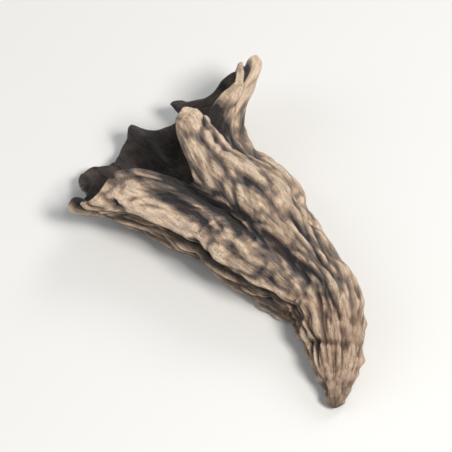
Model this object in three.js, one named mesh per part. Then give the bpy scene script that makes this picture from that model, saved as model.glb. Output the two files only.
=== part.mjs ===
// A dried black trumpet mushroom lying on its side: one thin-walled, pleated, hollow body.
// Millimetres, +Z up. The mouth faces -X and the bent stem ends at +X, on the surface z = 0.
//
// The wall is a grid. u runs along the body, 0 at the stem's tip and 1 at the rim.
// v runs round it, 0 at the -Y side, a quarter turn at the top. Angles named here are degrees of v.

import * as THREE from 'three';

// Driving dimensions

const LENGTH = 32.4;
const WALL = 1.1;

// Axis of the body, stem's tip first, in even steps along it, with the sharp bend of the stem
const AXIS = [
  [15.0, -3.3, 0.75],
  [13.1, -1.4, 1.25],
  [11.2, 0.4, 1.8],
  [9.0, 2.1, 2.2],
  [6.6, 3.2, 2.5],
  [3.9, 3.3, 2.95],
  [1.2, 3.2, 3.4],
  [-1.5, 3.2, 3.65],
  [-4.2, 3.2, 3.85],
  [-6.9, 2.9, 3.85],
  [-9.6, 2.6, 3.8],
  [-12.3, 2.7, 3.9],
  [-15.0, 2.5, 4.05],
];

// Radius before the pleats, stem's tip first, in even steps along the axis
const RADII = [0.5, 1.85, 2.85, 3.3, 3.7, 4.2, 4.7, 4.95, 5.1, 5.3, 5.8];

// The dried body is a little flat: these scale its height and its width
const SQUASH = 0.82;
const SPREAD = 1.3;
const FLATTENED = [0, 0.35];

// Where along the body the folds have come to their full depth
const GROWN = [0.05, 0.5];

// Main pleats. Each is a rounded ridge at an angle, with its height as a share of the radius and its
// half width in degrees. It starts at u = start and winds by turn degrees along the whole length.
const PLEATS = [
  { angle: 101, height: 0.10, halfWidth: 34, start: 0.00, turn: 22 },
  { angle: 141, height: -0.04, halfWidth: 20, start: 0.42, turn: 4 },
  { angle: 188, height: 0.03, halfWidth: 26, start: 0.30, turn: 26 },
  { angle: 232, height: 0.11, halfWidth: 25, start: 0.10, turn: 8 },
  { angle: 268, height: -0.12, halfWidth: 20, start: 0.45, turn: -20 },
  { angle: 310, height: 0.04, halfWidth: 27, start: 0.05, turn: 12 },
  { angle: 356, height: -0.02, halfWidth: 22, start: 0.38, turn: 22 },
  { angle: 38, height: 0.06, halfWidth: 27, start: 0.12, turn: 30 },
];
const PLEAT_DEPTH = 0.36;
const PLEAT_SHARPNESS = 20;
const PLEAT_RISE = 0.35;
const PLEAT_FADE = 0.25;
const PLEAT_MIDDLE = 0.7;
const PLEATS_ON_STEM = 0.35;

// Finer lengthwise wrinkles between the pleats: how many round the body, depth as a share of the
// radius, how blunt their valleys are, and how they wind and wander
const WRINKLES = [
  { count: 11, depth: 0.070, blunt: 0.03, wind: 1.2, sway: 0.7, swayCount: 2, swayWind: 5 },
  { count: 17, depth: 0.035, blunt: 0.05, wind: -2.0, sway: 0.9, swayCount: 3, swayWind: -4 },
];
const WRINKLE_MEAN = 0.6;
const WRINKLES_ON_STEM = 0.25;

// Shallow dents, as a share of the radius, and a crease that runs part of the way round the stem
const DENT = { depth: 0.09, along: [11, 6], around: [2, -3], phase: 1 };
const CREASE = { at: 0.17, width: 0.03, angle: 60, spread: 90, depth: 0.12 };

// The pleats lean over to one side
const LEAN = { angle: 0.05, count: 5, wind: 4 };

// The rim: a split at the top, a long lower lip that turns up, and two lips that flare sideways
const SPLIT = { angle: 70, width: 20, depth: 0.20, calmWidth: 30, calm: 0.75 };
const LOWER_LIP = { angle: 265, width: 70, reach: 0.15, rise: 2.0, flare: 0.5 };
const SIDE_LIPS = [
  { angle: 165, width: 28, flare: 4.6, curl: 1.8 },
  { angle: 8, width: 32, flare: 1.5, curl: 0.5 },
];
const FLARE = 0.5;
const FLARE_START = 0.72;
const EDGE_START = 0.82;
const RIM_WAVES_START = 0.35;
const RIM_WAVES = [
  { count: 2, share: 0.035, phase: 1.77 },
  { count: 7, share: 0.018, phase: 1.1 },
  { count: 12, share: 0.008, phase: 0 },
];
const RUFFLES = [
  { count: 8, height: 0.50, phase: 0.4 },
  { count: 13, height: 0.20, phase: 2.0 },
];
const ROLL = { mean: 0.5, swing: 0.7, count: 3, phase: 1.0 };
const RIM_ROUNDING = 0.3;

// The hollow ends blind in the upper stem
const HOLLOW_END = 0.27;
const HOLLOW_TAPER = 0.16;
const HOLLOW_LEAST = 0.15;

// The underside is flat where it rests
const FLOOR = 0;
const FLOOR_WALL = 0.75;

// Grid: points round the body, rings along the outside and along the inside
const ROUND = 72;
const OUTER_RINGS = 42;
const INNER_RINGS = 34;
const OUTER_CROWDING = 1.25;
const INNER_CROWDING = 1.2;
const WALL_TRIES = 5;

const OUTSIDE_COLOUR = new THREE.Color(0x9a7a5f);
const INSIDE_COLOUR = new THREE.Color(0x2a231f);

const { clamp, degToRad, lerp, smoothstep } = THREE.MathUtils;
const axis = new THREE.CatmullRomCurve3(AXIS.map((p) => new THREE.Vector3(...p)), false, 'catmullrom', 0.5);

// Smooth value at t between evenly spaced keys
function between(keys, t) {
  const place = clamp(t, 0, 1) * (keys.length - 1);
  const i = Math.min(Math.floor(place), keys.length - 2);
  const f = place - i;
  const b = keys[i];
  const c = keys[i + 1];
  const a = i > 0 ? keys[i - 1] : 2 * b - c;
  const d = i + 2 < keys.length ? keys[i + 2] : 2 * c - b;
  return b + 0.5 * f * (c - a + f * (2 * a - 5 * b + 4 * c - d + f * (3 * b - a - 3 * c + d)));
}

// Angle from a direction given in degrees, the short way round
function angleFrom(v, degrees) {
  const d = v - degToRad(degrees);
  return Math.atan2(Math.sin(d), Math.cos(d));
}

// 1 at a direction, falling smoothly to 0 over a width in degrees
function near(v, degrees, width) {
  return Math.exp(-((angleFrom(v, degrees) / degToRad(width)) ** 2));
}

function lowerLip(v) {
  return near(v, LOWER_LIP.angle, LOWER_LIP.width);
}

// The lips lie calm beside the split
function calmness(v) {
  return 1 - SPLIT.calm * near(v, SPLIT.angle, SPLIT.calmWidth);
}

function edge(u) {
  return smoothstep(u, EDGE_START, 1);
}

// Share of the axis that a grid point has reached: the rim isn't level
function reached(u, v) {
  let extra = LOWER_LIP.reach * lowerLip(v) - SPLIT.depth * near(v, SPLIT.angle, SPLIT.width);
  for (const wave of RIM_WAVES) {
    extra += wave.share * Math.sin(wave.count * v + wave.phase);
  }
  return u * (1 + extra * smoothstep(u, RIM_WAVES_START, 1));
}

// Ridges joined by narrow valleys, as a share of the radius
function pleats(u, v) {
  let total = 0;
  for (const { angle, height, halfWidth, start, turn } of PLEATS) {
    const fade = PLEAT_FADE * (1 - smoothstep(u, start, start + PLEAT_RISE));
    const across = angleFrom(v, angle + turn * (PLEAT_MIDDLE - u)) / degToRad(halfWidth);
    total += Math.exp(PLEAT_SHARPNESS * (height - fade - PLEAT_DEPTH * across * across));
  }
  return Math.log(total) / PLEAT_SHARPNESS;
}

function wrinkles(u, v) {
  let sum = 0;
  for (const w of WRINKLES) {
    const wander = w.sway * Math.sin(w.swayCount * v + w.swayWind * u);
    const across = Math.cos(0.5 * w.count * v + w.wind * u + wander);
    sum += w.depth * (Math.sqrt(across * across + w.blunt) - WRINKLE_MEAN);
  }
  return sum;
}

function dents(u, v) {
  const first = Math.sin(DENT.along[0] * u + DENT.around[0] * v);
  const second = Math.sin(DENT.along[1] * u + DENT.around[1] * v + DENT.phase);
  return DENT.depth * smoothstep(u, ...GROWN) * first * second;
}

function crease(u, v) {
  const offset = (u - CREASE.at) / CREASE.width;
  return CREASE.depth * Math.exp(-offset * offset) * near(v, CREASE.angle, CREASE.spread);
}

// Distance of the outer skin from the axis
function outerRadius(u, v) {
  const grown = smoothstep(u, ...GROWN);
  const pleated = lerp(PLEATS_ON_STEM, 1, grown) * pleats(u, v);
  const wrinkled = lerp(WRINKLES_ON_STEM, 1, grown) * wrinkles(u, v);
  const relief = pleated + wrinkled + dents(u, v) - crease(u, v);
  let flare = FLARE + LOWER_LIP.flare * lowerLip(v);
  for (const lip of SIDE_LIPS) {
    flare += lip.flare * near(v, lip.angle, lip.width);
  }
  let ruffle = 0;
  for (const wave of RUFFLES) {
    ruffle += wave.height * Math.sin(wave.count * v + wave.phase);
  }
  const rim = smoothstep(u, FLARE_START, 1) ** 1.5 * flare + edge(u) * ruffle;
  return between(RADII, reached(u, v)) * (1 + relief) + rim * calmness(v);
}

// Distance of the inner skin from the axis: nowhere nearer than one wall to the outer skin
function innerRadius(u, v) {
  const outer = outerRadius(u, v);
  let least = outer - WALL;
  for (let k = -WALL_TRIES; k <= WALL_TRIES; k += 1) {
    const turn = (0.97 * WALL / outer) * (k / WALL_TRIES);
    const r = outerRadius(u, v + turn);
    const across = r * Math.sin(turn);
    least = Math.min(least, r * Math.cos(turn) - Math.sqrt(Math.max(WALL * WALL - across * across, 0)));
  }
  return Math.max(least, HOLLOW_LEAST);
}

// Point at a distance from the axis, with the lips rolled back and the lower lip turned up
function place(u, v, radius) {
  const s = reached(u, v);
  const onAxis = clamp(s, 0, 1);
  const step = 0.004;
  const tangent = axis.getPoint(Math.min(onAxis + step, 1)).sub(axis.getPoint(Math.max(onAxis - step, 0)));
  tangent.normalize();
  const side = new THREE.Vector3(0, 0, 1).cross(tangent).normalize();
  const up = new THREE.Vector3().crossVectors(tangent, side);
  const angle = v + LEAN.angle * smoothstep(u, ...GROWN) * Math.sin(LEAN.count * v + LEAN.wind * u);
  const body = smoothstep(u, ...FLATTENED);
  let curl = ROLL.mean + ROLL.swing * Math.sin(ROLL.count * v + ROLL.phase);
  for (const lip of SIDE_LIPS) {
    curl += lip.curl * near(v, lip.angle, lip.width);
  }
  const roll = edge(u) ** 1.3 * curl * (1 - lowerLip(v)) * calmness(v);
  const point = axis.getPoint(onAxis);
  point.addScaledVector(tangent, Math.max(s - 1, 0) * LENGTH - roll);
  point.addScaledVector(side, radius * lerp(1, SPREAD, body) * Math.cos(angle));
  point.addScaledVector(up, radius * lerp(1, SQUASH, body) * Math.sin(angle));
  point.z += LOWER_LIP.rise * lowerLip(v) * edge(u) ** 1.5;
  return point;
}

// One closed ring of points at u, made by a function of the angle
function ring(pointAt) {
  return Array.from({ length: ROUND }, (_, j) => pointAt((j / ROUND) * 2 * Math.PI));
}

function outerRing(u) {
  return ring((v) => {
    const point = place(u, v, outerRadius(u, v));
    point.z = Math.max(point.z, FLOOR);
    return point;
  });
}

function innerRing(u) {
  const open = smoothstep(u, HOLLOW_END - 0.02, HOLLOW_END + HOLLOW_TAPER);
  return ring((v) => {
    const point = axis.getPoint(u).lerp(place(u, v, innerRadius(u, v)), open);
    point.z = Math.max(point.z, FLOOR + FLOOR_WALL);
    return point;
  });
}

// Blunt edge of the rim, a little ahead of the line halfway between its two skins
function rimRing(outer, inner, before) {
  return outer.map((point, j) => {
    const next = outer[(j + 1) % ROUND];
    const last = outer[(j + ROUND - 1) % ROUND];
    const ahead = new THREE.Vector3().subVectors(inner[j], point);
    ahead.cross(new THREE.Vector3().subVectors(next, last)).normalize();
    const forward = new THREE.Vector3().subVectors(point, before[j]);
    const reach = RIM_ROUNDING * WALL * Math.sign(ahead.dot(forward));
    return point.clone().lerp(inner[j], 0.5).addScaledVector(ahead, reach);
  });
}

// Rings lie closer together towards the rim, where the skin curves most
function spread(share, power) {
  return 0.35 * share + 0.65 * (1 - (1 - share) ** power);
}

function trumpetGeometry() {
  const outer = Array.from({ length: OUTER_RINGS }, (_, i) => {
    return outerRing(spread((i + 1) / OUTER_RINGS, OUTER_CROWDING));
  });
  const inner = Array.from({ length: INNER_RINGS }, (_, i) => {
    return innerRing(lerp(HOLLOW_END, 1, spread((i + 1) / INNER_RINGS, INNER_CROWDING)));
  });
  const rim = rimRing(outer.at(-1), inner.at(-1), outer.at(-2));
  const rings = [...outer, rim, ...inner.reverse()];
  const tip = axis.getPoint(0);
  tip.addScaledVector(tip.clone().sub(axis.getPoint(0.02)), 0.5);
  const blindEnd = axis.getPoint(HOLLOW_END - 0.012);
  const points = [tip, ...rings.flat(), blindEnd];

  const index = [];
  const at = (i, j) => 1 + i * ROUND + (j % ROUND);
  for (let j = 0; j < ROUND; j += 1) {
    index.push(0, at(0, j + 1), at(0, j));
    for (let i = 0; i + 1 < rings.length; i += 1) {
      index.push(at(i, j), at(i, j + 1), at(i + 1, j + 1));
      index.push(at(i, j), at(i + 1, j + 1), at(i + 1, j));
    }
    index.push(at(rings.length - 1, j), at(rings.length - 1, j + 1), points.length - 1);
  }

  const colours = points.flatMap((_, n) => {
    const colour = n <= (OUTER_RINGS + 1) * ROUND ? OUTSIDE_COLOUR : INSIDE_COLOUR;
    return colour.toArray();
  });
  const geometry = new THREE.BufferGeometry().setFromPoints(points);
  geometry.setAttribute('color', new THREE.Float32BufferAttribute(colours, 3));
  geometry.setIndex(index);
  geometry.computeBoundingBox();
  const centre = geometry.boundingBox.getCenter(new THREE.Vector3());
  geometry.translate(-centre.x, -centre.y, 0);
  geometry.computeVertexNormals();
  return geometry;
}

const material = new THREE.MeshStandardMaterial({ vertexColors: true, roughness: 0.9, metalness: 0 });
const trumpet = new THREE.Mesh(trumpetGeometry(), material);
trumpet.name = 'trumpet';

const mushroom = new THREE.Group();
mushroom.name = 'black-trumpet';
mushroom.add(trumpet);

export default mushroom;
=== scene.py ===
import math

import bpy
import numpy as np
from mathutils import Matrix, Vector


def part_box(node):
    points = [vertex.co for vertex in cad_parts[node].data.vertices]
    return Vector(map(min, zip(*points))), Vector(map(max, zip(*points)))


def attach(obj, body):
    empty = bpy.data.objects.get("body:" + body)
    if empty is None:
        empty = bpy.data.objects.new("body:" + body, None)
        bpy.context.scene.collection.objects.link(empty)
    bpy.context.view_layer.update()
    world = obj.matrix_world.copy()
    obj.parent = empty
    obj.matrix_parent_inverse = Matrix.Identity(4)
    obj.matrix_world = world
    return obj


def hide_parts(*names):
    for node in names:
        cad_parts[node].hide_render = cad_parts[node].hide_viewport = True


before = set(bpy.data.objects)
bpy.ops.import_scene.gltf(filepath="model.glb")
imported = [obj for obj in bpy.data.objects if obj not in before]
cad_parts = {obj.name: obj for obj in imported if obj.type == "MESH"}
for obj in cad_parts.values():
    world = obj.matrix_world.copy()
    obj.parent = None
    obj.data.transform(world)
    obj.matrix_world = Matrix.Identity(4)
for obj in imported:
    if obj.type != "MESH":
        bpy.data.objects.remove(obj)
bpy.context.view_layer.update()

# A dried black trumpet mushroom, lying on its side. Lengths are in millimetres until the mesh is made.
#
# The wall is a grid. u runs along the body, 0 at the stem's tip and 1 at the rim.
# v runs round it, 0 at the -Y side, a quarter turn at the top. Angles named here are degrees of v.

MILLIMETRE = 0.001
TURN = 2 * math.pi
NODE = "trumpet"

# The form, as the solid has it, but for a straighter axis near the mouth
LENGTH = 32.4
RADII = [0.5, 1.85, 2.85, 3.3, 3.7, 4.2, 4.7, 4.95, 5.1, 5.3, 5.8]
AXIS = [
    (15.0, -3.3, 0.75),
    (13.1, -1.4, 1.25),
    (11.2, 0.4, 1.8),
    (9.0, 2.1, 2.2),
    (6.6, 3.2, 2.5),
    (3.9, 3.3, 2.95),
    (1.2, 3.2, 3.4),
    (-1.5, 3.2, 3.65),
    (-4.2, 3.2, 3.85),
    (-6.9, 2.9, 3.85),
    (-9.6, 2.76, 3.82),
    (-12.3, 2.63, 3.9),
    (-15.0, 2.5, 4.05),
]
AXIS_STEP = 0.004
SQUASH = 0.82
SPREAD = 1.3
FLATTENED = (0, 0.35)
GROWN = (0.05, 0.5)

# The middle of the solid's outline from above, which is moved to the origin
FORM_MIDDLE = (-2.2125, 4.5015)

# Each lengthwise pleat: angle, height, half width, where along the stem it starts, twist on its way
PLEATS = [
    (101, 0.10, 34, 0.00, 22),
    (38, 0.06, 27, 0.12, 30),
    (-4, -0.02, 22, 0.38, 22),
    (-50, 0.04, 27, 0.05, 12),
    (-92, -0.12, 20, 0.45, -20),
    (-128, 0.11, 25, 0.10, 8),
    (-172, 0.03, 26, 0.30, 26),
    (141, -0.04, 20, 0.42, 4),
]
PLEAT_DEPTH = 0.36
PLEAT_SHARPNESS = 20.0
PLEAT_RISE = 0.35
PLEAT_FADE = 0.25
PLEAT_MIDDLE = 0.7
PLEATS_ON_STEM = 0.35

# Wrinkles between the pleats: half their count, depth, bluntness, wind, sway, sway's count and wind
WRINKLES = [
    (5.5, 0.070, 0.03, 1.2, 0.7, 2, 5),
    (8.5, 0.035, 0.05, -2.0, 0.9, 3, -4),
]
WRINKLE_MEAN = 0.6
WRINKLES_ON_STEM = 0.25

# Shallow dents: depth, then turns along and around for each of two waves
DENT_DEPTH = 0.09
DENT_ALONG = (11, 6)
DENT_AROUND = (2, -3)
DENT_PHASE = 1

# A crease part of the way round the stem
CREASE_AT = 0.17
CREASE_WIDTH = 0.03
CREASE_ANGLE = 60
CREASE_SPREAD = 90
CREASE_DEPTH = 0.12

# The pleats lean over to one side
LEAN = 0.05
LEAN_COUNT = 5
LEAN_WIND = 4

# The rim: a split at the top and a long lower lip that turns up
SPLIT_ANGLE = 70
SPLIT_WIDTH = 20
SPLIT_DEPTH = 0.20
CALM_WIDTH = 30
CALM = 0.75
LOWER_LIP_ANGLE = -95
LOWER_LIP_WIDTH = 70
LOWER_LIP_REACH = 0.15
LOWER_LIP_RISE = 2.0
LOWER_LIP_FLARE = 0.5

# The two lips that flare sideways: angle, width, how far each stands out, how far it curls back
SIDE_LIPS = [
    (165, 28, 4.6, 1.8),
    (8, 32, 1.5, 0.5),
]
FLARE = 0.5
FLARE_START = 0.72
EDGE_START = 0.82
ROLL_MEAN = 0.5
ROLL_SWING = 0.7
ROLL_COUNT = 3
ROLL_PHASE = 1.0
ROLL_ONSET = 1.3
RIM_ONSET = 1.5

# Waves of the rim: count, size, phase. The first run along the body, the second stand out from it.
REACH_WAVES_START = 0.35
REACH_WAVES = [
    (2, 0.035, 0.2 + math.pi / 2),
    (7, 0.018, 1.1),
    (12, 0.008, 0.0),
]
RUFFLES = [
    (8, 0.50, 0.4),
    (13, 0.20, 2.0),
]

# What drying adds in the finer piece. Each layer of noise: depth in mm, stretch along the stem,
# how far it is warped, cells per mm, seed.
BILLOWS = (0.20, 2.2, 0.5, 0.42, 1)
CREASES = (0.46, 3.6, 1.3, 0.62, 5)
FINE_CREASES = (0.26, 3.0, 0.9, 1.25, 9)
PUCKERS = (0.08, 1.5, 0.4, 2.3, 14)
GNARLS = (0.22, 1.4, 0.0, 0.55, 31)

# The gnarls fade towards the funnel, and all the layers towards the stem's tip
GNARLED = (0.3, 0.5)
DRIED = (0.02, 0.16)
DRIED_TIP = 0.25

# How the layers are laid out: the radius they are evened to, their warp, how far apart two seeds lie
MEAN_RADIUS = 4.6
WARP_CELLS = 0.45
SEED_SHIFT = 9.7
RIDGE_SOFTNESS = 0.07

# Ribs along the lobe beside the split
RIB_DEPTH = 0.30
RIB_COUNT = 10
RIB_MEAN = 0.6
RIB_ANGLE = 22
RIB_WIDTH = 42
RIBBED = (0.28, 0.5)
RIB_SWAY = (0.8, 5.0, 0.35, 51)

# Short folds where the stem bends, which sway on their way round and follow the billows
KNEE_AT = 0.27
KNEE_WIDTH = 0.05
KNEE_ANGLE = -60
KNEE_SPREAD = 80
KNEE_FOLDS = 200
KNEE_SWAY = 1.5
KNEE_SWAY_COUNT = 3
KNEE_BILLOW = 1.2
KNEE_DEPTH = 0.09

# A sharp line along the bottom of the stem's crease
NICK_DEPTH = 0.30
NICK_AT = 0.172
NICK_SWAY = 0.010
NICK_SWAY_COUNT = 2
NICK_SWAY_PHASE = 1
NICK_WIDTH = 0.008
NICK_SPREAD = 80

# The lumpy stub at the tip: depth, cells per mm and seed of two layers, and where they fade
STUB = [
    (0.34, 0.9, 41),
    (0.16, 2.2, 42),
]
STUB_END = (0.06, 0.14)

# The share of the body over which the tip is rounded
TIP_ROUNDING = 0.022

# The ragged rim: size, cells and seed of its noise, then each tear's angle, width and depth
RAG = [
    (0.012, 0.55, 21),
    (0.009, 1.4, 22),
    (0.004, 3.1, 23),
]
RIM_TEARS = [
    (10, 4, 0.018),
    (109, 3, 0.026),
    (128, 4, 0.022),
    (158, 3, 0.024),
    (196, 5, 0.026),
    (246, 4, 0.016),
]
RAG_START = 0.86

# Frills and crimps that stand out from the rim: height in mm, cells and seed
FRILL = (0.16, 0.9, 25)
CRIMP = (0.20, 1.9, 26)

# Radius and length of the hoop that the rim's noise is taken from
HOOP = 5
HOOP_LENGTH = 3

# The wall is thinner than the solid's, as a dried one's is
WALL = 0.62
RIM_WALL = 0.34
RIM_THINS = 0.7
FLOOR_WALL = 0.4

# The rim bulges ahead, by a share of its wall and away from the ring this many before the last
RIM_BULGE = 0.42
RIM_LOOK_BACK = 4

# The hollow: the share of the body where it ends blind, how it narrows to there, its least radius
HOLLOW_END = 0.27
HOLLOW_TAPER = 0.16
HOLLOW_LEAD = 0.02
BLIND_END = 0.012
LEAST_RADIUS = 0.12

# How finely the wall is drawn, with rings closer together towards the rim
ROUND = 320
OUTER_RINGS = 182
INNER_RINGS = 104
RIM_RINGS = 6
TIP_RINGS = 7
EVEN_SHARE = 0.35
OUTER_CROWDING = 1.25
INNER_CROWDING = 1.2

# How many grid steps each way are searched for the nearest outside
REACH_ROUND = 26
REACH_ALONG = 4

# Windows that tell ridge from valley, in grid steps round and along, and the tip's own height
BROAD_OUTSIDE = (22, 9)
BROAD_INSIDE = (22, 6)
CLOSE_OUTSIDE = (5, 3)
CLOSE_INSIDE = (5, 2)
TIP_RIDGE = 0.2

# The skin is painted paler on the upper side and darker below, as painted light where the light falls; it
# is also paler on the last of the stem, and browner at its very end
LIT_SIDE = 110
PALE_STEM = (0.12, 0.36)
PALENESS = 1.5
EARTHY_END = 0.075

# The noise: shuffled cells, a slope for each, and how the values are scaled
SEED = 11
SHUFFLE_SIZE = 256
rng = np.random.default_rng(SEED)
SHUFFLE = np.concatenate([rng.permutation(SHUFFLE_SIZE)] * 2)
SLOPES = rng.normal(size=(SHUFFLE_SIZE, 3))
SLOPES /= np.linalg.norm(SLOPES, axis=1, keepdims=True)
SEED_STEP = 37
NOISE_GAIN = 1.7
RIDGE_GAIN = 1.6
RIDGE_MEAN = 0.5


def smooth(a, b, x):
    """0 up to a, 1 from b, with a soft step between them."""
    t = np.clip((x - a) / (b - a), 0, 1)
    return t * t * (3 - 2 * t)


def along(keys, t):
    """A smooth curve through evenly spaced keys."""
    keys = np.asarray(keys, float)
    last = len(keys) - 1
    x = np.clip(np.asarray(t, float), 0, 1) * last
    i = np.minimum(x.astype(int), last - 1)
    f = x - i
    before = 2 * keys[0] - keys[1]
    after = 2 * keys[-1] - keys[-2]
    k = np.concatenate([[before], keys, [after]])
    p0, p1, p2, p3 = k[i], k[i + 1], k[i + 2], k[i + 3]
    if keys.ndim > 1:
        f = f[..., None]
    linear = (p2 - p0) * f
    square = (2 * p0 - 5 * p1 + 4 * p2 - p3) * f ** 2
    cube = (3 * p1 - p0 - 3 * p2 + p3) * f ** 3
    return 0.5 * (2 * p1 + linear + square + cube)


def angle_from(v, degrees):
    """How far v lies from an angle, the short way round."""
    d = v - np.radians(degrees)
    return np.arctan2(np.sin(d), np.cos(d))


def near(v, centre, width):
    """1 at an angle, falling smoothly to 0 over a width in degrees."""
    return np.exp(-((angle_from(v, centre) / math.radians(width)) ** 2))


def noise(p, seed):
    """Smooth noise of about -1 to 1 at points p."""
    cell = np.floor(p).astype(int)
    f = p - cell
    fade = f * f * f * (f * (f * 6 - 15) + 10)
    last = SHUFFLE_SIZE - 1
    total = 0
    for dx in (0, 1):
        wx = fade[..., 0] if dx else 1 - fade[..., 0]
        for dy in (0, 1):
            wy = fade[..., 1] if dy else 1 - fade[..., 1]
            for dz in (0, 1):
                wz = fade[..., 2] if dz else 1 - fade[..., 2]
                key = SHUFFLE[(cell[..., 0] + dx + seed * SEED_STEP) & last]
                key = SHUFFLE[key + ((cell[..., 1] + dy) & last)]
                key = SHUFFLE[key + ((cell[..., 2] + dz) & last)]
                step = f - np.array([dx, dy, dz])
                total = total + wx * wy * wz * (SLOPES[key] * step).sum(-1)
    return total * NOISE_GAIN


def ridged(p, seed):
    """Narrow valleys between rounded ridges, about -0.5 to 0.5."""
    n = noise(p, seed)
    return np.sqrt(n * n + RIDGE_SOFTNESS ** 2) * RIDGE_GAIN - RIDGE_MEAN


def surface_point(u, v, stretch, seed=0):
    """A place on the unrolled wall, in mm, with lengths along the stem drawn out by stretch."""
    radius = (MEAN_RADIUS + along(RADII, u)) / 2
    far = u * LENGTH / stretch + seed * SEED_SHIFT
    return np.stack([radius * np.cos(v), radius * np.sin(v), far], -1)


def layer(u, v, kind, make):
    """One layer of relief, in mm, from a warped pattern on the unrolled wall."""
    depth, stretch, warp, cells, seed = kind
    p = surface_point(u, v, stretch, seed)
    if warp:
        shifts = [noise(p * WARP_CELLS, seed + k) for k in (1, 2, 3)]
        p = p + warp * np.stack(shifts, -1)
    return depth * make(p * cells, seed)


def pleats(u, v):
    """The deep lengthwise pleats, as a share of the radius: the highest one wins, with soft valleys."""
    total = 0
    for angle, height, half, start, twist in PLEATS:
        fade = PLEAT_FADE * (1 - smooth(start, start + PLEAT_RISE, u))
        across = angle_from(v, angle + twist * (PLEAT_MIDDLE - u)) / math.radians(half)
        total = total + np.exp(PLEAT_SHARPNESS * (height - fade - PLEAT_DEPTH * across ** 2))
    return np.log(total) / PLEAT_SHARPNESS


def wrinkles(u, v):
    """The wrinkles that the solid has too, as a share of the radius."""
    total = 0
    for half_count, depth, blunt, wind, sway, sway_count, sway_wind in WRINKLES:
        wander = sway * np.sin(sway_count * v + sway_wind * u)
        across = np.cos(half_count * v + wind * u + wander)
        total = total + depth * (np.sqrt(across ** 2 + blunt) - WRINKLE_MEAN)
    return total


def dents(u, v):
    first = np.sin(DENT_ALONG[0] * u + DENT_AROUND[0] * v)
    second = np.sin(DENT_ALONG[1] * u + DENT_AROUND[1] * v + DENT_PHASE)
    return DENT_DEPTH * first * second * smooth(*GROWN, u)


def line_round(u, at, width):
    """1 where u is at a ring, falling smoothly to 0 over a width."""
    return np.exp(-(((u - at) / width) ** 2))


def drying(u, v):
    """What drying adds to the form, in mm: billows, sharp lengthwise creases, ribs and small folds."""
    billows = layer(u, v, BILLOWS, noise)
    relief = billows + layer(u, v, CREASES, ridged) + layer(u, v, FINE_CREASES, ridged)
    relief = relief + layer(u, v, PUCKERS, noise)
    relief = relief + layer(u, v, GNARLS, noise) * (1 - smooth(*GNARLED, u))
    relief = relief * (DRIED_TIP + (1 - DRIED_TIP) * smooth(*DRIED, u))

    sway, sway_stretch, sway_cells, sway_seed = RIB_SWAY
    wander = sway * noise(surface_point(u, v, sway_stretch, sway_seed) * sway_cells, sway_seed)
    ribs = np.abs(np.cos(RIB_COUNT * v + wander)) - RIB_MEAN
    relief = relief + RIB_DEPTH * ribs * near(v, RIB_ANGLE, RIB_WIDTH) * smooth(*RIBBED, u)

    knee = line_round(u, KNEE_AT, KNEE_WIDTH) * near(v, KNEE_ANGLE, KNEE_SPREAD)
    knee_sway = KNEE_SWAY * np.sin(KNEE_SWAY_COUNT * v)
    folds = np.sin(u * KNEE_FOLDS + knee_sway + KNEE_BILLOW * billows / BILLOWS[0])
    nick_at = NICK_AT + NICK_SWAY * np.sin(NICK_SWAY_COUNT * v + NICK_SWAY_PHASE)
    nick = line_round(u, nick_at, NICK_WIDTH) * near(v, CREASE_ANGLE, NICK_SPREAD)
    return relief + KNEE_DEPTH * knee * folds - NICK_DEPTH * nick


def stub(u, v):
    """Lumps on the last of the stem, in mm."""
    radius = along(RADII, u)
    p = np.stack([radius * np.cos(v), radius * np.sin(v), u * LENGTH], -1)
    lumps = 0
    for depth, cells, seed in STUB:
        lumps = lumps + depth * noise(p * cells, seed)
    return lumps * (1 - smooth(*STUB_END, u))


def hoop(u, v):
    """Where on the hoop a place of the rim takes its noise from."""
    return np.stack([HOOP * np.cos(v), HOOP * np.sin(v), HOOP_LENGTH * u], -1)


def rim_rag(v):
    """How much further, or less far, the ragged rim reaches, as a share of the length."""
    rag = 0
    for size, cells, seed in RAG:
        rag = rag + size * noise(hoop(0 * v, v) * cells, seed)
    for angle, width, depth in RIM_TEARS:
        rag = rag - depth * near(v, angle, width)
    return rag


def lower_lip(v):
    """How much a place belongs to the lower lip."""
    return near(v, LOWER_LIP_ANGLE, LOWER_LIP_WIDTH)


def calmness(v):
    """The lips lie calm beside the split."""
    return 1 - CALM * near(v, SPLIT_ANGLE, CALM_WIDTH)


def edge(u):
    """How near a place is to the rim."""
    return smooth(EDGE_START, 1, u)


def reached(u, v):
    """Share of the axis that a grid point has reached: the rim isn't level."""
    extra = LOWER_LIP_REACH * lower_lip(v) - SPLIT_DEPTH * near(v, SPLIT_ANGLE, SPLIT_WIDTH)
    for count, share, phase in REACH_WAVES:
        extra = extra + share * np.sin(count * v + phase)
    rag = rim_rag(v) * smooth(RAG_START, 1, u) ** RIM_ONSET
    return u * (1 + extra * smooth(REACH_WAVES_START, 1, u)) + rag


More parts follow.
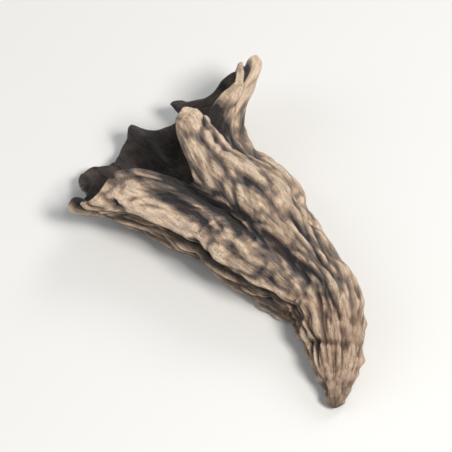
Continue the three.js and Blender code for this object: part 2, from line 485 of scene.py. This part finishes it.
def outer_radius(u, v):
    """Distance from the axis to the outside, in mm."""
    grown = smooth(*GROWN, u)
    pleated = (PLEATS_ON_STEM + (1 - PLEATS_ON_STEM) * grown) * pleats(u, v)
    wrinkled = (WRINKLES_ON_STEM + (1 - WRINKLES_ON_STEM) * grown) * wrinkles(u, v)
    crease = CREASE_DEPTH * line_round(u, CREASE_AT, CREASE_WIDTH) * near(v, CREASE_ANGLE, CREASE_SPREAD)
    body = along(RADII, reached(u, v)) * (1 + pleated + wrinkled + dents(u, v) - crease)
    flare = FLARE + LOWER_LIP_FLARE * lower_lip(v)
    for angle, width, out, _ in SIDE_LIPS:
        flare = flare + out * near(v, angle, width)
    ruffle = 0
    for count, height, phase in RUFFLES:
        ruffle = ruffle + height * np.sin(count * v + phase)
    for make, (height, cells, seed) in ((noise, FRILL), (ridged, CRIMP)):
        ruffle = ruffle + height * make(hoop(u, v) * cells, seed)
    rim = (flare * smooth(FLARE_START, 1, u) ** RIM_ONSET + ruffle * edge(u)) * calmness(v)
    tip = np.sqrt(1 - (1 - np.minimum(u / TIP_ROUNDING, 1)) ** 2)
    return (body + rim + drying(u, v) + stub(u, v)) * tip


def axes_at(s):
    """Forward, sideways and up at a share of the axis."""
    s = np.clip(s, 0, 1)
    step = along(AXIS, s + AXIS_STEP) - along(AXIS, s - AXIS_STEP)
    tangent = step / np.linalg.norm(step, axis=-1, keepdims=True)
    side = np.cross([0, 0, 1.0], tangent)
    side /= np.linalg.norm(side, axis=-1, keepdims=True)
    return tangent, side, np.cross(tangent, side)


def place(u, v, radius):
    """Points at a distance from the axis, with the lips rolled back and the lower lip turned up."""
    s = reached(u, v)
    tangent, side, up = axes_at(s)
    angle = v + LEAN * smooth(*GROWN, u) * np.sin(LEAN_COUNT * v + LEAN_WIND * u)
    body = smooth(*FLATTENED, u)
    curl = ROLL_MEAN + ROLL_SWING * np.sin(ROLL_COUNT * v + ROLL_PHASE)
    for lip_angle, width, _, back in SIDE_LIPS:
        curl = curl + back * near(v, lip_angle, width)
    roll = edge(u) ** ROLL_ONSET * curl * (1 - lower_lip(v)) * calmness(v)
    sideways = radius * (1 + (SPREAD - 1) * body) * np.cos(angle)
    upwards = radius * (1 + (SQUASH - 1) * body) * np.sin(angle)
    forward = np.maximum(s - 1, 0) * LENGTH - roll
    p = along(AXIS, s) + tangent * forward[..., None] + side * sideways[..., None] + up * upwards[..., None]
    p[..., 2] += LOWER_LIP_RISE * lower_lip(v) * edge(u) ** RIM_ONSET
    return p


def inner_radius(u, radius, wall):
    """The radius inside the wall: no place in it is nearer to the outside than the wall is thick."""
    least = radius - wall
    for m in range(-REACH_ALONG, REACH_ALONG + 1):
        rows = np.clip(np.arange(len(u)) + m, 0, len(u) - 1)
        apart = (u[rows] - u) * LENGTH
        for k in range(-REACH_ROUND, REACH_ROUND + 1):
            turn = k * TURN / ROUND
            r = np.roll(radius[rows], -k, axis=1)
            room = wall ** 2 - apart ** 2 - (r * math.sin(turn)) ** 2
            reach = r * math.cos(turn) - np.sqrt(np.maximum(room, 0))
            least = np.where(room > 0, np.minimum(least, reach), least)
    return np.maximum(least, LEAST_RADIUS)


def rise_above(values, window):
    """How far each place stands above the mean round it: columns go round the wall, rows along it."""
    across, lengthwise = window
    total = 0
    for k in range(-across, across + 1):
        total = total + np.roll(values, k, axis=1)
    rows = np.arange(len(values))
    mean = 0
    for m in range(-lengthwise, lengthwise + 1):
        mean = mean + total[np.clip(rows + m, 0, len(values) - 1)]
    return values - mean / (2 * across + 1) / (2 * lengthwise + 1)


def crowded(count, power):
    """Shares from 0 to 1 that lie closer together towards 1."""
    x = np.arange(1, count + 1) / count
    return EVEN_SHARE * x + (1 - EVEN_SHARE) * (1 - (1 - x) ** power)


def rim_shares():
    """How far across the rim each of its rings lies."""
    return [k / (RIM_RINGS + 1) for k in range(1, RIM_RINGS + 1)]


def rim_between(outer, inner):
    """Rings that round off the rim, ahead of the straight line between its two skins."""
    first, last = outer[-1], inner[-1]
    ahead = np.cross(last - first, np.roll(first, -1, 0) - np.roll(first, 1, 0))
    ahead *= np.sign((ahead * (first - outer[-RIM_LOOK_BACK])).sum(-1, keepdims=True))
    ahead /= np.linalg.norm(ahead, axis=-1, keepdims=True)
    bulge = RIM_BULGE * RIM_WALL
    return [first * (1 - t) + last * t + ahead * bulge * math.sin(math.pi * t) for t in rim_shares()]


def faces_between(rings, last_point):
    """Faces of a skin from a first point, through rings of points, to a last point."""
    faces = [(0, 1 + (j + 1) % ROUND, 1 + j) for j in range(ROUND)]
    for i in range(rings - 1):
        a = 1 + i * ROUND
        b = a + ROUND
        for j in range(ROUND):
            k = (j + 1) % ROUND
            faces.append((a + j, a + k, b + k, b + j))
    a = 1 + (rings - 1) * ROUND
    faces += [(a + j, a + (j + 1) % ROUND, last_point) for j in range(ROUND)]
    return faces


def everywhere(on_outer, on_inner, at_tip=0, at_end=0):
    """One value for each point of the mesh, from the grids of its two skins."""
    across_rim = [on_outer[-1] * (1 - t) + on_inner[-1] * t for t in rim_shares()]
    values = [[at_tip], on_outer.ravel(), np.ravel(across_rim), on_inner[::-1].ravel(), [at_end]]
    return np.concatenate(values)


def trumpet_mesh():
    """Points in metres, faces, and the looks of each point, for the outside, the rim and the inside."""
    v = np.arange(ROUND) / ROUND * TURN
    cap = TIP_ROUNDING * (1 - np.cos(np.arange(1, TIP_RINGS + 1) / (TIP_RINGS + 1) * TURN / 4))
    body = crowded(OUTER_RINGS, OUTER_CROWDING)
    u_out = np.concatenate([cap, body[body > TIP_ROUNDING]])
    u_in = HOLLOW_END + (1 - HOLLOW_END) * crowded(INNER_RINGS, INNER_CROWDING)
    uo, vo = np.meshgrid(u_out, v, indexing="ij")
    ui, vi = np.meshgrid(u_in, v, indexing="ij")

    radius_out = outer_radius(uo, vo)
    outer = place(uo, vo, radius_out)
    outer[..., 2] = np.maximum(outer[..., 2], 0)

    radius_in = outer_radius(ui, vi)
    wall = WALL + (RIM_WALL - WALL) * smooth(RIM_THINS, 1, ui)
    inner = place(ui, vi, inner_radius(ui, radius_in, wall))
    close = 1 - smooth(HOLLOW_END - HOLLOW_LEAD, HOLLOW_END + HOLLOW_TAPER, ui)[..., None]
    inner = inner * (1 - close) + along(AXIS, ui) * close
    inner[..., 2] = np.maximum(inner[..., 2], FLOOR_WALL)

    rings = [*outer, *rim_between(outer, inner), *inner[::-1]]
    blind_end = along(AXIS, HOLLOW_END - BLIND_END)
    points = np.concatenate([[along(AXIS, 0.0)], *rings, [blind_end]])
    points[:, :2] -= FORM_MIDDLE
    faces = faces_between(len(rings), len(points) - 1)

    # How far each place rises above the places round it; the material paints highlight on the rises and
    # shade in the creases from this
    ridge = [rise_above(radius_out, BROAD_OUTSIDE), rise_above(radius_in, BROAD_INSIDE)]
    crease = [rise_above(radius_out, CLOSE_OUTSIDE), rise_above(radius_in, CLOSE_INSIDE)]
    lit_side = math.radians(LIT_SIDE)
    pale_stem = PALENESS * (1 - smooth(*PALE_STEM, uo))
    looks = {
        "ridge": everywhere(*ridge, at_tip=TIP_RIDGE),
        "crease": everywhere(*crease),
        "inner": everywhere(0 * uo, 1 + 0 * ui, at_end=1),
        "tip": everywhere(1 - smooth(0, EARTHY_END, uo), 0 * ui, at_tip=1),
        # Painted light: lighter on the upper side and darker on the lower, with the paler last of the stem
        # outside
        "painted_light_and_pale_stem": everywhere(np.cos(vo - lit_side) + pale_stem, np.cos(vi - lit_side), at_tip=PALENESS),
    }
    unrolled_out = surface_point(uo, vo, 1)
    unrolled_in = surface_point(ui, vi, 1)
    looks["grain"] = np.stack([everywhere(unrolled_out[..., k], unrolled_in[..., k]) for k in range(3)], -1)
    return points * MILLIMETRE, faces, looks


def add_looks(mesh, looks):
    """Stores how high, how deep and how far along each point is, and how much painted light its side gets,
    for the material to use.
    """
    for name, values in looks.items():
        kind, slot = ("FLOAT", "value") if values.ndim == 1 else ("FLOAT_VECTOR", "vector")
        attribute = mesh.attributes.new(name, kind, "POINT")
        attribute.data.foreach_set(slot, values.astype(np.float32).ravel())


# Sockets of a node that mixes two colours
MIX_COLOURS = (6, 7)
MIX_RESULT = 2


class Nodes:
    """Short calls that add shader nodes to one material."""

    def __init__(self, name):
        self.material = bpy.data.materials.new(name)
        self.material.use_nodes = True
        self.tree = self.material.node_tree
        self.shader = self.tree.nodes["Principled BSDF"]

    def link(self, source, target):
        self.tree.links.new(source, target)

    def put(self, node, socket, value):
        if isinstance(value, bpy.types.NodeSocket):
            self.link(value, node.inputs[socket])
        else:
            node.inputs[socket].default_value = value

    def attribute(self, name, output="Fac"):
        node = self.tree.nodes.new("ShaderNodeAttribute")
        node.attribute_name = name
        return node.outputs[output]

    def position(self):
        return self.tree.nodes.new("ShaderNodeNewGeometry").outputs["Position"]

    def scaled(self, vector, scale):
        node = self.tree.nodes.new("ShaderNodeVectorMath")
        node.operation = "MULTIPLY"
        self.link(vector, node.inputs[0])
        node.inputs[1].default_value = scale
        return node.outputs["Vector"]

    def noise(self, vector, scale, detail, roughness, distortion=0.0):
        node = self.tree.nodes.new("ShaderNodeTexNoise")
        self.link(vector, node.inputs["Vector"])
        node.inputs["Scale"].default_value = scale
        node.inputs["Detail"].default_value = detail
        node.inputs["Roughness"].default_value = roughness
        node.inputs["Distortion"].default_value = distortion
        return node.outputs["Fac"]

    def cells(self, vector, scale):
        node = self.tree.nodes.new("ShaderNodeTexVoronoi")
        self.link(vector, node.inputs["Vector"])
        node.inputs["Scale"].default_value = scale
        return node.outputs["Distance"]

    def ramp(self, value, low, high, to_low=0.0, to_high=1.0):
        node = self.tree.nodes.new("ShaderNodeMapRange")
        node.interpolation_type = "SMOOTHSTEP"
        self.link(value, node.inputs["Value"])
        node.inputs["From Min"].default_value = low
        node.inputs["From Max"].default_value = high
        node.inputs["To Min"].default_value = to_low
        node.inputs["To Max"].default_value = to_high
        return node.outputs["Result"]

    def math(self, operation, a, b=0.0):
        node = self.tree.nodes.new("ShaderNodeMath")
        node.operation = operation
        self.put(node, 0, a)
        self.put(node, 1, b)
        return node.outputs["Value"]

    def total(self, *weighted):
        """Sum of values, each multiplied by its weight."""
        parts = [self.math("MULTIPLY", value, weight) for value, weight in weighted]
        total = parts[0]
        for part in parts[1:]:
            total = self.math("ADD", total, part)
        return total

    def mix(self, factor, a, b):
        node = self.tree.nodes.new("ShaderNodeMix")
        node.data_type = "RGBA"
        node.clamp_result = False
        self.put(node, 0, factor)
        for socket, value in zip(MIX_COLOURS, (a, b)):
            if isinstance(value, tuple):
                node.inputs[socket].default_value = value + (1.0,)
            else:
                self.link(value, node.inputs[socket])
        return node.outputs[MIX_RESULT]

    def bump(self, height, distance, strength):
        node = self.tree.nodes.new("ShaderNodeBump")
        self.link(height, node.inputs["Height"])
        node.inputs["Distance"].default_value = distance
        node.inputs["Strength"].default_value = strength
        return node.outputs["Normal"]


# Colours of the dried flesh
TAN = (0.455, 0.322, 0.218)
FAWN = (0.200, 0.149, 0.118)
BROWN = (0.118, 0.081, 0.058)
ASH = (0.118, 0.104, 0.099)
RUST = (0.30, 0.150, 0.078)
# The dark of the painted shade in the creases, and of the dark fibres and specks
SHADE_AND_MARK_DARK = (0.018, 0.013, 0.012)
# The pale bloom of the ridges, which is also their painted highlight
BLOOM_AND_HIGHLIGHT = (0.76, 0.595, 0.445)
EARTH = (0.052, 0.036, 0.027)
BLACK_INSIDE = (0.010, 0.0082, 0.0085)
BROWN_INSIDE = (0.034, 0.025, 0.021)

# Patterns in the flesh: cells per metre, detail, roughness, distortion
ZONES = (95, 3, 0.5, 0.4)
PATCHES = (210, 8, 0.68, 0.5)
SMALL_PATCHES = (800, 6, 0.66, 0.4)
PORES = (5200, 3, 0.6, 0.0)
SPECK_CELLS = 2600

# Patterns on the unrolled wall, which run along the stem: cells per mm round and along, then as above
STREAK_CELLS = (1.7, 1.7, 0.20)
STREAKS = (1.4, 6, 0.62, 0.5)
FIBRE_CELLS = (7.0, 7.0, 0.8)
FIBRES = (1.0, 4, 0.6, 0.3)
CREPE_CELLS = (2.6, 2.6, 1.1)
CREPE = (1.0, 5, 0.6, 0.8)
CREPE_MIDDLE = 0.5

# What counts as high: broad ridges, narrow ones beside creases, the upper side's painted light with the
# paler last of the stem, and the patterns above. Ridges count high for the bloom and painted highlight,
# creases low for painted shade.
# Each pattern's heights: its values from and to, and what they count as.
RIDGE_WEIGHT = 0.80
CREASE_WEIGHT = 3.6
LIT_SIDE_AND_PALE_STEM_WEIGHT = 0.20
ZONE_HEIGHTS = (0.30, 0.70, -0.22, 0.16)
PATCH_HEIGHTS = (0.25, 0.75, -0.24, 0.24)
STREAK_HEIGHTS = (0.25, 0.75, -0.38, 0.36)

# Where one colour gives way to the next: from, to, and where given the share at each end
ASH_PATCHES = (0.42, 0.60)
RUST_PATCHES = (0.54, 0.70, 0.0, 0.55)
# The lowest places go dark as painted shade in the creases, and the highest go pale as bloom and painted
# highlight on the ridges
GROUND_HEIGHTS = (-0.50, -0.08)
FAWN_HEIGHTS = (-0.12, 0.32)
TAN_HEIGHTS = (0.22, 0.66)
BLOOM_AND_HIGHLIGHT_HEIGHTS = (0.60, 1.05, 0.0, 0.75)
RUST_ZONES = (0.52, 0.66, 0.0, 0.30)
DARK_FIBRES = (0.40, 0.62, 0.26, 0.0)
DARK_SPECKS = (0.10, 0.24, 0.5, 0.0)
EARTHY_PATCHES = (0.3, 0.7, -0.35, 0.35)
EARTHY = (0.6, 1.2, 0.0, 0.45)
LINING_FIBRES = (0.35, 0.65)
LINING_CREASES = 1.2
LINING_PATCHES = (0.5, 0.8, 0.0, 0.5)
RAGGED_LINE = (0.3, 0.7, -0.25, 0.25)
LINED = (0.25, 0.75)

# The sheen of the surface and its finest relief
ROUGHNESS = (0.3, 0.7, 0.74, 0.95)
SMOOTHER_INSIDE = 0.16
SPECULAR = 0.32
SHEEN = 0.08
SHEEN_ROUGHNESS = 0.6
RELIEF_OF_FIBRES = 0.6
RELIEF_OF_PORES = 0.35
RELIEF_OF_STREAKS = 0.6
RELIEF_OF_CREPE = 2.4
RELIEF_DISTANCE = 0.0003
RELIEF_STRENGTH = 1.0


def flesh_material():
    n = Nodes("dried flesh")
    everywhere_in = n.position()
    grain = n.attribute("grain", "Vector")
    crease = n.attribute("crease")
    inner = n.attribute("inner")

    zones = n.noise(everywhere_in, *ZONES)
    patches = n.noise(everywhere_in, *PATCHES)
    small_patches = n.noise(everywhere_in, *SMALL_PATCHES)
    streaks = n.noise(n.scaled(grain, STREAK_CELLS), *STREAKS)
    fibres = n.noise(n.scaled(grain, FIBRE_CELLS), *FIBRES)
    specks = n.cells(everywhere_in, SPECK_CELLS)

    # How high each place counts: ridges for bloom and painted highlight, creases for painted shade, the
    # upper side for painted light, and random patterns for the flesh's own tone
    height = n.total(
        (n.attribute("ridge"), RIDGE_WEIGHT),
        (crease, CREASE_WEIGHT),
        (n.ramp(zones, *ZONE_HEIGHTS), 1),
        (n.ramp(patches, *PATCH_HEIGHTS), 1),
        (n.ramp(streaks, *STREAK_HEIGHTS), 1),
        (n.attribute("painted_light_and_pale_stem"), LIT_SIDE_AND_PALE_STEM_WEIGHT),
    )
    ground = n.mix(n.ramp(small_patches, *ASH_PATCHES), BROWN, ASH)
    ground = n.mix(n.ramp(patches, *RUST_PATCHES), ground, RUST)
    # Painted shade in the creases, then fawn and tan, then the bloom with painted highlight on the highest
    # ridges
    outside = n.mix(n.ramp(height, *GROUND_HEIGHTS), SHADE_AND_MARK_DARK, ground)
    outside = n.mix(n.ramp(height, *FAWN_HEIGHTS), outside, FAWN)
    outside = n.mix(n.ramp(height, *TAN_HEIGHTS), outside, TAN)
    outside = n.mix(n.ramp(height, *BLOOM_AND_HIGHLIGHT_HEIGHTS), outside, BLOOM_AND_HIGHLIGHT)
    outside = n.mix(n.ramp(zones, *RUST_ZONES), outside, RUST)
    outside = n.mix(n.ramp(fibres, *DARK_FIBRES), outside, SHADE_AND_MARK_DARK)
    outside = n.mix(n.ramp(specks, *DARK_SPECKS), outside, SHADE_AND_MARK_DARK)
    earthy = n.total((n.attribute("tip"), 1), (n.ramp(small_patches, *EARTHY_PATCHES), 1))
    outside = n.mix(n.ramp(earthy, *EARTHY), outside, EARTH)

    lining = n.mix(n.ramp(fibres, *LINING_FIBRES), BLACK_INSIDE, BROWN_INSIDE)
    # The lining turns browner in patches and where it lies further out than the lining round it
    lining_browning = n.total((patches, 1), (crease, LINING_CREASES))
    lining = n.mix(n.ramp(lining_browning, *LINING_PATCHES), lining, BROWN)
    lined = n.total((inner, 1), (n.ramp(streaks, *RAGGED_LINE), 1))
    n.link(n.mix(n.ramp(lined, *LINED), outside, lining), n.shader.inputs["Base Color"])

    rough = n.total((n.ramp(small_patches, *ROUGHNESS), 1), (inner, -SMOOTHER_INSIDE))
    n.link(rough, n.shader.inputs["Roughness"])
    n.shader.inputs["Specular IOR Level"].default_value = SPECULAR
    n.shader.inputs["Sheen Weight"].default_value = SHEEN
    n.shader.inputs["Sheen Roughness"].default_value = SHEEN_ROUGHNESS

    crepe = n.noise(n.scaled(grain, CREPE_CELLS), *CREPE)
    relief = n.total(
        (fibres, RELIEF_OF_FIBRES),
        (n.noise(everywhere_in, *PORES), RELIEF_OF_PORES),
        (streaks, RELIEF_OF_STREAKS),
        (n.math("ABSOLUTE", n.math("SUBTRACT", crepe, CREPE_MIDDLE)), RELIEF_OF_CREPE),
    )
    n.link(n.bump(relief, RELIEF_DISTANCE, RELIEF_STRENGTH), n.shader.inputs["Normal"])
    return n.material


def make_trumpet():
    points, faces, looks = trumpet_mesh()
    mesh = bpy.data.meshes.new("dried_trumpet")
    mesh.from_pydata(points.tolist(), [], faces)
    mesh.polygons.foreach_set("use_smooth", [True] * len(faces))
    add_looks(mesh, looks)
    mesh.update()
    mesh.materials.append(flesh_material())
    piece = bpy.data.objects.new("dried_trumpet", mesh)
    bpy.context.scene.collection.objects.link(piece)
    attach(piece, "root")
    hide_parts(NODE)


# The floor
FLOOR_HALF = 0.6
FLOOR_COLOUR = (0.66, 0.655, 0.64, 1)
FLOOR_ROUGHNESS = 0.9

# Each light: name, azimuth, elevation, distance, size, watts, colour
LIGHTS = [
    ("key", 95, 52, 0.30, 0.09, 1.0, (1.0, 0.97, 0.93)),
    ("fill", -40, 35, 0.35, 0.25, 0.30, (0.93, 0.96, 1.0)),
    ("back", 190, 40, 0.35, 0.15, 0.35, (1.0, 1.0, 1.0)),
]
ROOM_COLOUR = (0.95, 0.97, 1.0, 1)
ROOM_STRENGTH = 0.33

# The camera: its direction and distance, its lens, and how far it aims past the solid's middle
CAMERA_AZIMUTH = 47
CAMERA_ELEVATION = 54
CAMERA_LENS = 150
CAMERA_DISTANCE = 0.172
CAMERA_ASIDE = -0.0035
CAMERA_RAISED = -0.0010
CAMERA_NEAR = 0.01
CAMERA_FAR = 5


def make_floor():
    h = FLOOR_HALF
    mesh = bpy.data.meshes.new("floor")
    mesh.from_pydata([(-h, -h, 0), (h, -h, 0), (h, h, 0), (-h, h, 0)], [], [(0, 1, 2, 3)])
    material = bpy.data.materials.new("pale floor")
    material.use_nodes = True
    shader = material.node_tree.nodes["Principled BSDF"]
    shader.inputs["Base Color"].default_value = FLOOR_COLOUR
    shader.inputs["Roughness"].default_value = FLOOR_ROUGHNESS
    mesh.materials.append(material)
    floor = bpy.data.objects.new("floor", mesh)
    bpy.context.scene.collection.objects.link(floor)


def direction(azimuth, elevation):
    """Away from the object: azimuth 0 is towards -Y."""
    a = math.radians(azimuth)
    e = math.radians(elevation)
    return Vector((math.sin(a) * math.cos(e), -math.cos(a) * math.cos(e), math.sin(e)))


def hang(name, data, target, away, distance):
    """Puts a light or the camera at a distance from the target and turns it towards it."""
    holder = bpy.data.objects.new(name, data)
    holder.location = target + away * distance
    holder.rotation_euler = (-away).to_track_quat("-Z", "Y").to_euler()
    bpy.context.scene.collection.objects.link(holder)
    return holder


def make_lights(target):
    for name, azimuth, elevation, distance, size, energy, colour in LIGHTS:
        light = bpy.data.lights.new(name, "AREA")
        light.energy = energy
        light.size = size
        light.color = colour
        hang(name, light, target, direction(azimuth, elevation), distance)


def make_camera(target):
    away = direction(CAMERA_AZIMUTH, CAMERA_ELEVATION)
    right = Vector((0, 0, 1)).cross(away).normalized()
    target = target + right * CAMERA_ASIDE + away.cross(right) * CAMERA_RAISED
    camera = bpy.data.cameras.new("camera")
    camera.lens = CAMERA_LENS
    camera.clip_start = CAMERA_NEAR
    camera.clip_end = CAMERA_FAR
    bpy.context.scene.camera = hang("camera", camera, target, away, CAMERA_DISTANCE)


def make_room():
    world = bpy.data.worlds.new("soft room")
    world.use_nodes = True
    background = world.node_tree.nodes["Background"]
    background.inputs["Color"].default_value = ROOM_COLOUR
    background.inputs["Strength"].default_value = ROOM_STRENGTH
    bpy.context.scene.world = world
    bpy.context.scene.view_settings.view_transform = "Standard"


low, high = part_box(NODE)
middle = (Vector(low) + Vector(high)) / 2
make_trumpet()
make_floor()
make_camera(middle)
make_lights(middle)
make_room()
